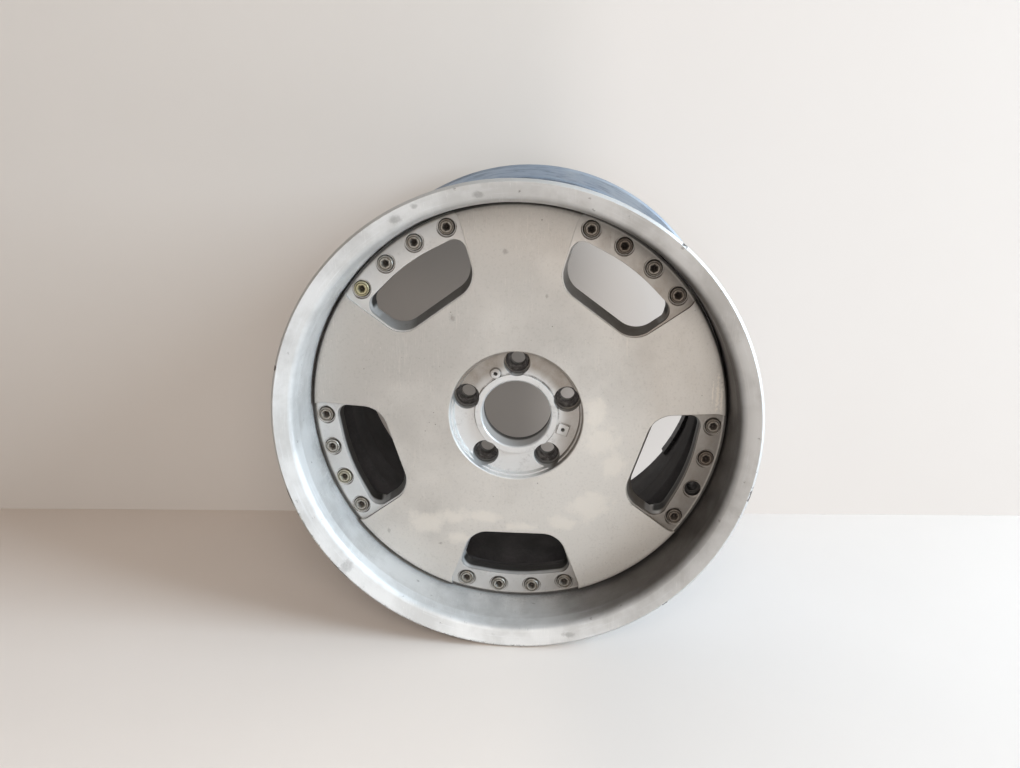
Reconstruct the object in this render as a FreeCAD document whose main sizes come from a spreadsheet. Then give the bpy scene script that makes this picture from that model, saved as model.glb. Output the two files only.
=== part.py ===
"""Two-piece alloy car wheel: a deep-lipped rim with a five-spoke centre bolted in.

The wheel stands upright. Its axle lies along Y, the outer face looks towards -Y and Z is up. The
origin is the middle of the wheel. A depth is measured inwards from the outer flange face, an angle
from +X towards +Z as seen from the outer face. Lengths are in millimetres, angles in degrees.
"""

import FreeCAD
import Part
import Sketcher

import math
import os

Vector = FreeCAD.Vector

DRIVING_SIZES = {
    # rim: radii are given as steps inwards from the flange
    "flange_r": 246.0, "width": 306.0, "flange_thick": 13.3, "flange_edge": 2.5,
    "flange_rise": 17.4, "hump_rise": 1.4, "barrel_wall": 6.0, "band_wide": 19.0, "band_depth": 8.0,
    "band_round": 9.0, "lip_in": 22.6, "lip_depth": 21.0, "socket_in": 24.0, "well_in": 39.0,
    "slope_from": 110.0, "slope_run": 30.0, "well_wide": 40.0, "back_slope_run": 25.0,
    "flare_depth": 14.0, "flare_in": 8.0, "bead_out": 20.0, "bead_in": 22.0, "hump_ramp": 6.0,
    "hump_top": 5.0, "hump_end_out": 5.0, "hump_end_in": 7.0, "barrel_rise": 26.0,
    # mounting ring inside the rim
    "bolt_face": 84.0, "ring_thick": 14.0, "ring_wide": 25.0, "ring_edge": 2.0,
    # centre disc
    "seam": 1.7, "face_depth": 48.5, "disc_drop": 10.3, "edge_round": 6.0, "hub_well_r": 71.2,
    "well_floor": 60.0, "well_step": 55.0, "collar_r": 43.9, "collar_rise": 4.0, "bore_r": 36.55,
    "bore_bevel": 1.4, "hub_face": 87.0, "hub_pad_r": 78.0, "web_back": 75.0, "relief_deep": 9.0,
    "relief_in": 46.0, "relief_narrow": 14.0, "relief_broad": 27.0,
    # windows between the spokes: their places are steps inwards from the lip wall
    "window_count": 5.0, "window_angle": 19.8, "window_deep": 86.5, "window_in_round": 27.0,
    "window_out_round": 20.0, "floor_depth": 62.8, "floor_tilt": 8.5, "open_in": 29.0,
    "open_round": 12.0, "draft": 0.263, "side_draft": 0.048, "open_angle": 19.2, "arc_half": 9.0,
    # wheel-bolt seats: their depths are steps outwards from the hub face
    "lug_circle_r": 56.0, "lug_mouth_r": 13.9, "lug_mouth_depth": 16.5, "seat_ring_r": 12.4,
    "seat_ring_depth": 5.0, "seat_bore_r": 7.5, "seat_edge": 0.9, "seat_land": 3.4,
    # screw bosses of the centre cap
    "boss_rise": 3.0, "boss_corner": 1.6, "screw_r": 2.1, "screw_deep": 11.0,
    # rim bolts
    "bolt_in": 14.5, "bolt_step": 10.3, "head_r": 8.0, "head_high": 9.8, "head_top": 63.4,
    "socket_flats": 8.0, "socket_deep": 5.0, "shank_r": 5.0, "shank_long": 22.5, "spot_r": 10.0,
    "spot_depth": 66.2, "insert_r": 6.2,
    # valve in the slope of the drop centre
    "valve_hole_r": 5.75, "stem_r": 3.9, "stem_long": 32.0,
    # balance weights on the back of the barrel
    "weight_wide": 19.0, "weight_thick": 3.8, "weight_angle": 5.5, "weight_gap": 0.25,
    "tape_thick": 0.9, "tape_inset": 1.0, "weight_bevel": 0.8, "weight_inset": 37.0,
    "weight_start": 326.0, "weight_count": 6.0,
    # clearances
    "slip": 0.05, "shank_slip": 0.15, "head_slip": 0.7, "hole_slip": 0.5, "overrun": 2.0,
}

FIRST_WINDOW = 270.0   # the lowest window, from which the other four are turned
FIRST_SPOKE = 90.0
MISSING_BOLT = 342.0 - 5.15   # the hole that has lost its bolt
CAP_SCREW_ROUND = (49.0, 117.0, 5.2)   # radius from the axle, angle, boss radius
CAP_SCREW_SQUARE = (52.0, 342.0, 5.9)
DOMED = "domed"


class Size:
    """A length or an angle that carries its number and the sheet formula it comes from."""

    def __init__(self, number, formula):
        self.number = float(number)
        self.formula = formula

    @staticmethod
    def of(value):
        """Wraps a plain number, and passes a Size through."""
        return value if isinstance(value, Size) else Size(value, repr(float(value)))

    def __add__(self, other):
        other = Size.of(other)
        return Size(self.number + other.number, f"({self.formula} + {other.formula})")

    def __sub__(self, other):
        other = Size.of(other)
        return Size(self.number - other.number, f"({self.formula} - {other.formula})")

    def __mul__(self, other):
        other = Size.of(other)
        return Size(self.number * other.number, f"({self.formula} * {other.formula})")

    def __truediv__(self, other):
        other = Size.of(other)
        return Size(self.number / other.number, f"({self.formula} / {other.formula})")

    def __radd__(self, other):
        return Size.of(other) + self

    def __rsub__(self, other):
        return Size.of(other) - self

    def __rmul__(self, other):
        return Size.of(other) * self

    def __neg__(self):
        return 0.0 - self


def trig(name, angle):
    """Sine, cosine or tangent of an angle in degrees."""
    angle = Size.of(angle)
    number = getattr(math, name)(math.radians(angle.number))
    return Size(number, f"{name}({angle.formula} * 1 deg)")


def polar(radius, angle):
    """Position on the outer face, across and up, of a point given by radius and angle."""
    return radius * trig("cos", angle), radius * trig("sin", angle)


doc = FreeCAD.newDocument("alloy_wheel")
sheet = doc.addObject("Spreadsheet::Sheet", "sizes")
for row, (alias, value) in enumerate(DRIVING_SIZES.items(), start=1):
    sheet.set(f"A{row}", alias)
    sheet.set(f"B{row}", str(value))
    sheet.setAlias(f"B{row}", alias)
doc.recompute()
S = {alias: Size(sheet.get(alias), f"sizes.{alias}") for alias in DRIVING_SIZES}

HALF = S["width"] / 2.0

# radii and depths that follow from the driving sizes
SEAT = S["flange_r"] - S["flange_rise"]
SLOPE_TOP = SEAT - 3.6
WELL = S["flange_r"] - S["well_in"]
SOCKET = S["flange_r"] - S["socket_in"]
RING_IN = SOCKET - S["ring_wide"]
BOLT_CIRCLE = SOCKET - S["bolt_in"]
WINDOW_IN = SOCKET - S["window_deep"]
OPEN_OUT = SOCKET - S["open_in"]
WELL_FROM = S["slope_from"] + S["slope_run"]
WELL_TO = WELL_FROM + S["well_wide"]
SLOPE_TO = WELL_TO + S["back_slope_run"]
LUG_MOUTH = S["hub_face"] - S["lug_mouth_depth"]
SEAT_RING = S["hub_face"] - S["seat_ring_depth"]


def bind(thing, path, size):
    """Ties a property to the sheet."""
    thing.setExpression(path, Size.of(size).formula)


def plane_of(body, role):
    """Origin plane or axis of a body, by its role."""
    return next(f for f in body.Origin.OriginFeatures if f.Role == role)


def new_body(label):
    """Empty body with its own label."""
    body = doc.addObject("PartDesign::Body", label)
    body.Label = label
    return body


def section_sketch(body, name, shift=None):
    """Sketch of a turned section: radius across, distance along the axle up the page."""
    sketch = body.newObject("Sketcher::SketchObject", name)
    sketch.AttachmentSupport = [(plane_of(body, "XY_Plane"), "")]
    sketch.MapMode = "FlatFace"
    if shift is not None:
        sketch.AttachmentOffset = FreeCAD.Placement(Vector(0, shift.number, 0), FreeCAD.Rotation())
        bind(sketch, ".AttachmentOffset.Base.y", shift)
    return sketch


def face_sketch(body, name, depth, tilt=0.0):
    """Sketch seen from the outer face, at a depth below the flange, tilted about its X axis."""
    sketch = body.newObject("Sketcher::SketchObject", name)
    sketch.AttachmentSupport = [(plane_of(body, "XZ_Plane"), "")]
    sketch.MapMode = "FlatFace"
    lift = HALF - depth
    turn = FreeCAD.Rotation(Vector(1, 0, 0), Size.of(tilt).number)
    sketch.AttachmentOffset = FreeCAD.Placement(Vector(0, 0, lift.number), turn)
    bind(sketch, ".AttachmentOffset.Base.z", lift)
    return sketch


def hold(sketch, kind, refs, size):
    """Adds a dimension to a sketch and ties it to the sheet."""
    size = Size.of(size)
    index = sketch.addConstraint(Sketcher.Constraint(kind, *refs, size.number))
    bind(sketch, f"Constraints[{index}]", size)


def pin(sketch, geometry, end, across, up):
    """Fixes one end of a sketch element by its two coordinates."""
    hold(sketch, "DistanceX", (-1, 1, geometry, end), across)
    hold(sketch, "DistanceY", (-1, 1, geometry, end), up)


def arc_middle(start, end, bow):
    """Middle point of a bowed side: about the axle where bow is DOMED, or else with that radius."""
    half = (end - start) * 0.5
    if bow == DOMED:
        centre = Vector(0, (end.dot(end) - start.dot(start)) / (2.0 * (end.y - start.y)), 0)
        return centre + (start + half - centre).normalize() * (start - centre).Length
    side = Vector(half.y, -half.x, 0).normalize()
    return start + half + side * (bow.number - math.sqrt(bow.number ** 2 - half.Length ** 2))


def closed_profile(sketch, points):
    """Closed outline of straight sides. A third value on a point bows the side that follows it
    towards smaller depths: a radius, or DOMED for an arc about the axle."""
    spots = [Vector(Size.of(p[0]).number, Size.of(p[1]).number, 0) for p in points]
    for index, point in enumerate(points):
        start, end = spots[index], spots[(index + 1) % len(spots)]
        if len(point) == 3:
            sketch.addGeometry(Part.Arc(start, arc_middle(start, end, point[2]), end), False)
        else:
            sketch.addGeometry(Part.LineSegment(start, end), False)
    ends = []
    for index in range(len(points)):
        first = sketch.getPoint(index, 1)
        ends.append((1, 2) if (first - spots[index]).Length < 1e-6 else (2, 1))
    for index, point in enumerate(points):
        after = (index + 1) % len(points)
        sketch.addConstraint(Sketcher.Constraint("Coincident", index, ends[index][1], after,
                                                 ends[after][0]))
        pin(sketch, index, ends[index][0], point[0], point[1])
        if len(point) == 3 and point[2] == DOMED:
            sketch.addConstraint(Sketcher.Constraint("PointOnObject", index, 3, -2))
        elif len(point) == 3:
            hold(sketch, "Radius", (index,), point[2])


def rounded_outline(sketch, corners):
    """Closed outline with a round at every corner, given anticlockwise as (across, up, radius)."""
    spots = [Vector(Size.of(c[0]).number, Size.of(c[1]).number, 0) for c in corners]
    count = len(corners)
    starts, ends, arcs = [], [], []
    for index, corner in enumerate(corners):
        here, before, after = spots[index], spots[index - 1], spots[(index + 1) % count]
        back, on = (before - here).normalize(), (after - here).normalize()
        radius = Size.of(corner[2]).number
        half = math.acos(max(-1.0, min(1.0, back.dot(on)))) / 2.0
        reach = radius / math.tan(half)
        centre = here + (back + on).normalize() * (radius / math.sin(half))
        first, last = here + back * reach, here + on * reach
        ends.append(first)
        starts.append(last)
        angles = [math.atan2(p.y - centre.y, p.x - centre.x) for p in (first, last)]
        arcs.append(Part.ArcOfCircle(Part.Circle(centre, Vector(0, 0, 1), radius), *angles))
    lines = [sketch.addGeometry(Part.LineSegment(starts[i], ends[(i + 1) % count]), False)
             for i in range(count)]
    rounds = [sketch.addGeometry(arc, False) for arc in arcs]
    marks = [sketch.addGeometry(Part.Point(spot), True) for spot in spots]
    for index, corner in enumerate(corners):
        line_in, line_out = lines[index - 1], lines[index]
        sketch.addConstraint(Sketcher.Constraint("Tangent", line_in, 2, rounds[index], 1))
        sketch.addConstraint(Sketcher.Constraint("Tangent", rounds[index], 2, line_out, 1))
        sketch.addConstraint(Sketcher.Constraint("PointOnObject", marks[index], 1, line_in))
        sketch.addConstraint(Sketcher.Constraint("PointOnObject", marks[index], 1, line_out))
        pin(sketch, marks[index], 1, corner[0], corner[1])
        hold(sketch, "Radius", (rounds[index],), corner[2])


def circles(sketch, spots, radius):
    """Equal circles at the given places."""
    for across, up in spots:
        centre = Vector(Size.of(across).number, Size.of(up).number, 0)
        ring = Part.Circle(centre, Vector(0, 0, 1), Size.of(radius).number)
        index = sketch.addGeometry(ring, False)
        pin(sketch, index, 3, across, up)
        hold(sketch, "Radius", (index,), radius)


def turned(body, sketch, name, angle=360.0):
    """Turns a section about the body's Y axis."""
    feature = body.newObject("PartDesign::Revolution", name)
    feature.Profile = sketch
    feature.ReferenceAxis = (sketch, ["V_Axis"])
    feature.Angle = Size.of(angle).number
    bind(feature, "Angle", angle)
    doc.recompute()
    return feature


def pocket(body, sketch, name, deep=None, outwards=False):
    """Cuts a sketch inwards from its plane, or out towards the viewer, to a depth or right
    through, and makes sure that it removed something."""
    before = body.Shape.Volume
    feature = body.newObject("PartDesign::Pocket", name)
    feature.Profile = sketch
    feature.Reversed = outwards
    if deep is None:
        feature.Type = "ThroughAll"
    else:
        feature.Type = "Length"
        feature.Length = Size.of(deep).number
        bind(feature, "Length", deep)
    doc.recompute()
    if body.Shape.Volume > before - 0.5:
        raise RuntimeError(f"{name} cut nothing")
    return feature


def around(body, features, name, count):
    """Repeats features evenly about the axle."""
    pattern = body.newObject("PartDesign::PolarPattern", name)
    pattern.Originals = features
    pattern.Axis = (plane_of(body, "Y_Axis"), [""])
    pattern.Angle = 360.0
    pattern.Occurrences = int(Size.of(count).number)
    bind(pattern, "Occurrences", count)
    body.Tip = pattern
    doc.recompute()
    return pattern


def ring_edges(shape, rings):
    """Names of the full circles about the axle with the given radii and depths."""
    found = []
    for number, edge in enumerate(shape.Edges, start=1):
        if not isinstance(edge.Curve, Part.Circle):
            continue
        middle = edge.Curve.Center
        for radius, depth in rings:
            near = abs(edge.Curve.Radius - Size.of(radius).number) < 0.02
            level = abs(middle.y + HALF.number - Size.of(depth).number) < 0.02
            if near and level and math.hypot(middle.x, middle.z) < 0.02:
                found.append(f"Edge{number}")
    return found


def soften(body, base, name, edges, radius):
    """Rounds named edges of a feature."""
    if not edges:
        raise RuntimeError(f"{name} found no edge")
    feature = body.newObject("PartDesign::Fillet", name)
    feature.Base = (base, edges)
    feature.Radius = Size.of(radius).number
    bind(feature, "Radius", radius)
    doc.recompute()
    return feature


def spin(angle):
    """Placement that turns something from +X to an angle about the axle."""
    return FreeCAD.Placement(Vector(), FreeCAD.Rotation(Vector(0, 1, 0), -angle))


def group(label, master, placements):
    """Several copies of one piece, kept as one part of separate solids."""
    doc.recompute()
    copies = []
    for placement in placements:
        copy = master.Shape.copy()
        copy.Placement = placement.multiply(copy.Placement)
        copies.append(copy)
    feature = doc.addObject("Part::Feature", label)
    feature.Shape = Part.makeCompound(copies)
    feature.Label = label
    feature.Placement = FreeCAD.Placement()
    return feature


def face_floor(v):
    """Depth of the tilted window floor at a distance v from the axle."""
    return S["floor_depth"] + (v - OPEN_OUT) * trig("tan", S["floor_tilt"])


def make_rim():
    """Rim turned in one piece, with the mounting ring, the bolt holes and the valve hole."""
    body = new_body("rim")
    width, flange, edge = S["width"], S["flange_r"], S["flange_edge"]
    seat, hump = SEAT, SEAT + S["hump_rise"]
    inside = S["flange_thick"]
    rear = width - inside
    wall = S["barrel_wall"]
    ring_back = S["bolt_face"] + S["ring_thick"]
    bead_out, bead_in = inside + S["bead_out"], rear - S["bead_in"]
    hump_out, hump_in = bead_out + S["hump_ramp"], bead_in - S["hump_ramp"]
    hump_foot = hump_out + S["hump_top"] + S["hump_end_out"]
    sketch = section_sketch(body, "rim_section", -HALF)
    closed_profile(sketch, [
        # outer band, lip wall and the mounting ring
        (flange - edge, 0.0), (flange - S["band_wide"], S["band_depth"]),
        (flange - S["lip_in"], S["lip_depth"]),
        (SOCKET, S["bolt_face"]), (RING_IN + S["ring_edge"], S["bolt_face"]),
        (RING_IN, S["bolt_face"] + S["ring_edge"]),
        (RING_IN, ring_back - S["ring_edge"]), (RING_IN + S["ring_edge"], ring_back),
        # inside of the barrel
        (SLOPE_TOP - wall, ring_back), (SLOPE_TOP - wall, S["slope_from"]),
        (WELL - wall, WELL_FROM), (WELL - wall, WELL_TO),
        (SLOPE_TOP - wall, SLOPE_TO), (SOCKET, SLOPE_TO + S["barrel_rise"]),
        (SOCKET, width - S["flare_depth"]), (flange - S["flare_in"], width - 4.0),
        # inner flange, bead seat and hump
        (flange - edge, width), (flange, width - edge), (flange, rear + edge),
        (flange - edge, rear), (seat + 3.4, rear), (seat + 0.6, rear - 3.7),
        (seat - 0.6, bead_in), (hump, hump_in), (hump, hump_in - S["hump_top"]),
        (seat - 1.1, hump_in - S["hump_top"] - S["hump_end_in"]), (seat - 3.2, SLOPE_TO + 3.0),
        # drop centre
        (SLOPE_TOP, SLOPE_TO), (WELL, WELL_TO), (WELL, WELL_FROM),
        (SLOPE_TOP, S["slope_from"]), (seat - 1.6, hump_foot + S["hump_ramp"]),
        # outer hump, bead seat and flange
        (seat - 1.1, hump_foot), (hump, hump_out + S["hump_top"]), (hump, hump_out),
        (seat - 0.6, bead_out), (seat + 0.6, inside + 3.7), (seat + 3.4, inside),
        (flange - edge, inside), (flange, inside - edge), (flange, edge),
    ])
    turning = turned(body, sketch, "rim_turning")
    band = ring_edges(turning.Shape, [(S["flange_r"] - S["band_wide"], S["band_depth"])])
    band_round = soften(body, turning, "band_rounding", band, S["band_round"])
    corners = [(WELL, WELL_FROM), (WELL, WELL_TO),
               (WELL - wall, WELL_FROM), (WELL - wall, WELL_TO)]
    soften(body, band_round, "drop_rounding", ring_edges(band_round.Shape, corners), 6.0)

    holes = face_sketch(body, "insert_holes", S["bolt_face"] - 3.0)
    circles(holes, bolt_spots(), S["insert_r"] + S["slip"])
    first = pocket(body, holes, "insert_drilling", S["ring_thick"] + 6.0)
    around(body, [first], "insert_pattern", S["window_count"])

    valve = body.newObject("Sketcher::SketchObject", "valve_hole")
    valve.AttachmentSupport = [(plane_of(body, "XY_Plane"), "")]
    valve.MapMode = "FlatFace"
    valve.AttachmentOffset = valve_placement(-3.0)
    circles(valve, [(0.0, 0.0)], S["valve_hole_r"])
    pocket(body, valve, "valve_drilling", S["barrel_wall"] * 2.2, outwards=True)
    return body


def bolt_spots():
    """Places of the four rim bolts of the lowest window."""
    offsets = [-1.5, -0.5, 0.5, 1.5]
    return [polar(BOLT_CIRCLE, FIRST_WINDOW + S["bolt_step"] * step) for step in offsets]


def slope_tilt():
    """Angle in radians between the outer slope of the drop centre and the axle."""
    return math.atan2(SLOPE_TOP.number - WELL.number,
                      WELL_FROM.number - S["slope_from"].number)


def valve_placement(along):
    """Frame on the outer slope of the drop centre at the top: its Z axis runs down the stem, and
    its origin lies that far along from the middle of the tyre side of the wall."""
    radius = (WELL.number + SLOPE_TOP.number) / 2.0
    depth = (WELL_FROM.number + S["slope_from"].number) / 2.0
    tilt = slope_tilt()
    axis = Vector(0.0, -math.sin(tilt), -math.cos(tilt))
    start = Vector(0.0, depth - HALF.number, radius) + axis * along
    return FreeCAD.Placement(start, FreeCAD.Rotation(Vector(0, 0, 1), axis))


def make_disc():
    """Cast centre: domed face, hub well with collar, five windows, bolt flanges, bolt seats."""
    body = new_body("centre_disc")
    out = SOCKET - S["seam"]
    bore, bevel = S["bore_r"], S["bore_bevel"]
    collar_top = S["well_floor"] - S["collar_rise"]
    face_edge = S["face_depth"] + S["disc_drop"]
    sketch = section_sketch(body, "disc_section", -HALF)
    closed_profile(sketch, [
        # hub well: bore collar, floor, stepped wall
        (bore + bevel, collar_top), (S["collar_r"], collar_top), (S["collar_r"], S["well_floor"]),
        (S["hub_well_r"] - 4.7, S["well_floor"]), (S["hub_well_r"] - 3.5, S["well_step"]),
        (S["hub_well_r"] - 2.0, S["well_step"]), (S["hub_well_r"] - 1.2, S["face_depth"] + 0.9),
        # domed face and outer edge
        (S["hub_well_r"], S["face_depth"], DOMED),
        (out - S["edge_round"], face_edge, S["edge_round"] * 1.1),
        (out, face_edge + S["edge_round"]), (out, S["bolt_face"]),
        # back: bolting ring, web, hub pad
        (out - 32.0, S["bolt_face"]), (out - 38.0, S["web_back"] + 3.0),
        (S["hub_pad_r"] + 18.0, S["web_back"]), (S["hub_pad_r"] + 2.0, S["hub_face"] - 2.0),
        (S["hub_pad_r"], S["hub_face"]), (bore + bevel, S["hub_face"]),
        (bore, S["hub_face"] - bevel), (bore, collar_top + bevel),
    ])
    turned(body, sketch, "disc_turning")

    # window recess down to the tilted bolt flange, open towards the lip
    slant = trig("cos", S["floor_tilt"])
    recess = face_sketch(body, "recess_outline", face_floor(0.0), S["floor_tilt"])
    inner = WINDOW_IN * trig("tan", S["window_angle"])
    outer = SOCKET * trig("tan", S["window_angle"])
    near, far = -WINDOW_IN / slant, -SOCKET / slant
    rounds = S["window_in_round"], S["window_out_round"]
    rounded_outline(recess, [(inner, near, rounds[0]), (-inner, near, rounds[0]),
                             (-outer, far, rounds[1]), (outer, far, rounds[1])])
    cut = pocket(body, recess, "recess_cut", S["floor_depth"], outwards=True)
    cut.UseCustomVector = True
    cut.Direction = Vector(0, 1, 0)
    doc.recompute()
    windows = around(body, [cut], "recess_pattern", S["window_count"])

    # drafted opening through the web, inside each recess
    loops = []
    front, back = S["face_depth"] - S["overrun"] * 2.0, S["bolt_face"] + S["overrun"] * 4.0
    for name, depth in (("opening_front", front), ("opening_back", back)):
        loop = face_sketch(body, name, depth)
        opening_outline(loop, depth)
        loops.append(loop)
    before = body.Shape.Volume
    opening = body.newObject("PartDesign::SubtractiveLoft", "opening_cut")
    opening.Profile = loops[0]
    opening.Sections = [loops[1]]
    opening.Ruled = True
    doc.recompute()
    if body.Shape.Volume > before - 100.0:
        raise RuntimeError("the window opening cut nothing")
    around(body, [opening], "opening_pattern", S["window_count"])

    # spot faces, counterbores and holes for the rim bolts
    spots = bolt_spots()
    drilled = []
    head_seat = S["head_top"] + S["head_high"]
    for name, radius, start in (
            ("spot_face", S["spot_r"], S["spot_depth"]),
            ("head_bore", S["head_r"] + S["head_slip"], head_seat),
            ("bolt_hole", S["shank_r"] + S["hole_slip"], S["bolt_face"] + S["overrun"])):
        flat = face_sketch(body, name, start)
        circles(flat, spots, radius)
        drilled.append(pocket(body, flat, f"{name}_cut", start, outwards=True))
    around(body, drilled, "bolt_pattern", S["window_count"])

    # seats for the wheel bolts
    lug = [polar(S["lug_circle_r"], FIRST_SPOKE)]
    bored = []
    for name, radius, start in (
            ("lug_mouth", S["lug_mouth_r"], LUG_MOUTH),
            ("seat_bore", S["seat_ring_r"] + S["slip"], SEAT_RING),
            ("lug_hole", S["seat_bore_r"], S["hub_face"] + S["overrun"])):
        flat = face_sketch(body, name, start)
        circles(flat, lug, radius)
        bored.append(pocket(body, flat, f"{name}_cut", start, outwards=True))
    around(body, bored, "lug_pattern", S["window_count"])

    # hollow behind each spoke
    hollow = face_sketch(body, "spoke_hollow", S["bolt_face"])
    low, high = S["hub_pad_r"] + 26.0, SOCKET - S["relief_in"]
    narrow, broad = S["relief_narrow"], S["relief_broad"]
    rounded_outline(hollow, [(-narrow, low, narrow / 2.0), (narrow, low, narrow / 2.0),
                             (broad, high, broad / 3.0), (-broad, high, broad / 3.0)])
    relief = pocket(body, hollow, "hollow_cut", S["bolt_face"] - S["web_back"] + S["relief_deep"],
                    outwards=True)
    around(body, [relief], "hollow_pattern", S["window_count"])
    cap_bosses(body)
    return body


def opening_outline(sketch, depth):
    """Outline of the window opening at a depth: straight hub side, radial sides, arched lip side."""
    past_face = depth - S["face_depth"] - 2.5
    hub_side = WINDOW_IN + S["draft"] * past_face
    side = S["open_angle"] - S["side_draft"] * (depth - S["well_floor"])
    arch = OPEN_OUT
    foot = hub_side * trig("tan", side)
    reach = arch / trig("cos", side - S["arc_half"])
    corner = polar(reach, FIRST_WINDOW + side)
    apex = arch / trig("cos", S["arc_half"])
    rounds = S["window_in_round"] - 0.05 * past_face
    rounded_outline(sketch, [
        (foot, -hub_side, rounds), (-foot, -hub_side, rounds),
        (-corner[0], corner[1], S["open_round"]), (0.0, -apex, arch),
        (corner[0], corner[1], S["open_round"]),
    ])


def cap_bosses(body):
    """Two raised screw bosses for the lost centre cap, a round one and a square one."""
    for name, (radius, angle, size) in (("round", CAP_SCREW_ROUND), ("square", CAP_SCREW_SQUARE)):
        spot = polar(Size.of(radius), angle)
        boss = face_sketch(body, f"{name}_boss", S["well_floor"])
        if name == "round":
            circles(boss, [spot], size)
        else:
            turns = [polar(Size.of(size * 1.35), angle + 45.0 + 90.0 * k) for k in range(4)]
            rounded_outline(boss, [(spot[0] + dx, spot[1] + dy, S["boss_corner"]) for dx, dy in turns])
        raised = body.newObject("PartDesign::Pad", f"{name}_pad")
        raised.Profile = boss
        raised.Length = S["boss_rise"].number
        bind(raised, "Length", S["boss_rise"])
        doc.recompute()
        drill = face_sketch(body, f"{name}_drill", S["well_floor"] - S["boss_rise"])
        circles(drill, [spot], S["screw_r"])
        pocket(body, drill, f"{name}_thread", S["screw_deep"])


def make_bolt():
    """Socket-head bolt along Y with the top of its head at the origin."""
    body = new_body("bolt_master")
    head, shank, high = S["head_r"], S["shank_r"], S["head_high"]
    tip = high + S["shank_long"]
    sketch = section_sketch(body, "bolt_section")
    closed_profile(sketch, [(0.0, 0.0), (head - 0.8, 0.0), (head, 0.8), (head, high),
                            (shank, high), (shank, tip - 1.0), (shank - 1.0, tip), (0.0, tip)])
    turned(body, sketch, "bolt_turning")
    key = body.newObject("Sketcher::SketchObject", "bolt_key")
    key.AttachmentSupport = [(plane_of(body, "XZ_Plane"), "")]
    key.MapMode = "FlatFace"
    reach = S["socket_flats"] / 2.0 / trig("cos", 30.0)
    closed_profile(key, [polar(reach, 60.0 * k) for k in range(6)])
    pocket(body, key, "bolt_socket", S["socket_deep"])
    return body


def make_tube(label, section):
    """Small turned piece about Y."""
    body = new_body(label)
    sketch = section_sketch(body, f"{label}_section")
    closed_profile(sketch, section)
    turned(body, sketch, f"{label}_turning")
    return body


def on_face(radius, angle, depth, roll=0.0):
    """Placement of a piece that lies along the axle, at a radius, angle and depth."""
    turn = FreeCAD.Rotation(Vector(0, 1, 0), roll)
    place = Vector(radius * math.cos(math.radians(angle)), depth - HALF.number,
                   radius * math.sin(math.radians(angle)))
    return FreeCAD.Placement(place, turn)


def bolt_angles():
    """Angles of all twenty rim bolts."""
    count = int(S["window_count"].number)
    step = S["bolt_step"].number
    return [(FIRST_WINDOW + 360.0 / count * w + step * (k - 1.5)) % 360.0
            for w in range(count) for k in range(4)]


def make_fasteners():
    """Rim bolts, their thread inserts and the seat rings of the wheel bolts."""
    circle = BOLT_CIRCLE.number
    kept = [a for a in bolt_angles() if abs(a - MISSING_BOLT) > 1.0]
    bolts = group("rim_bolts", make_bolt(), [
        on_face(circle, a, S["head_top"].number, 23.0 * k) for k, a in enumerate(kept)])

    long, outside, bore = S["ring_thick"], S["insert_r"], S["shank_r"] + S["shank_slip"]
    insert = make_tube("insert_master", [(bore, 0.6), (bore + 0.6, 0.0), (outside, 0.0),
                                         (outside, long), (bore, long)])
    inserts = group("thread_inserts", insert, [
        on_face(circle, a, S["bolt_face"].number) for a in bolt_angles()])

    tall = SEAT_RING - LUG_MOUTH
    ring, hole, bevel = S["seat_ring_r"], S["seat_bore_r"], S["seat_edge"]
    seat = make_tube("seat_master", [(ring - bevel, 0.0), (ring, bevel), (ring, tall),
                                     (hole, tall), (hole, tall - S["seat_land"])])
    lugs = [FIRST_SPOKE + 72.0 * k for k in range(5)]
    seats = group("lug_seats", seat, [
        on_face(S["lug_circle_r"].number, a, LUG_MOUTH.number) for a in lugs])
    return [bolts, inserts, seats]


def make_valve():
    """Clamp-in valve at the top of the drop centre: stem, rubber seal, nut and cap."""
    lay = FreeCAD.Rotation(Vector(1, 0, 0), 90.0)
    wall, stem, hole = S["barrel_wall"], S["stem_r"], S["valve_hole_r"]
    inside = wall * math.cos(slope_tilt())
    pieces = [
        make_tube("valve_stem", [(0.0, -5.2), (7.4, -5.2), (8.2, -4.4), (8.2, -2.6), (stem, -2.6),
                                 (stem, S["stem_long"]), (0.0, S["stem_long"])]),
        make_tube("valve_seal", [(stem + S["slip"], -2.6), (8.6, -2.6), (8.6, -0.1),
                                 (hole - S["slip"], -0.1), (hole - S["slip"], inside),
                                 (stem + S["slip"], inside)]),
        make_tube("valve_nut", [(stem + S["slip"], inside + 0.2), (8.4, inside + 0.2),
                                (8.4, inside + 1.8), (6.9, inside + 2.2), (6.9, inside + 7.0),
                                (6.2, inside + 7.6), (stem + S["slip"], inside + 7.6)]),
        make_tube("valve_cap", [(stem + S["slip"], S["stem_long"] - 8.0),
                                (4.9, S["stem_long"] - 8.0), (4.9, S["stem_long"] + 1.4),
                                (4.1, S["stem_long"] + 2.2), (0.0, S["stem_long"] + 2.2),
                                (0.0, S["stem_long"] + S["slip"]),
                                (stem + S["slip"], S["stem_long"] + S["slip"])]),
    ]
    frame = valve_placement(0.0)
    for piece in pieces:
        piece.Placement = frame.multiply(FreeCAD.Placement(Vector(), lay))
    return pieces


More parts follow.
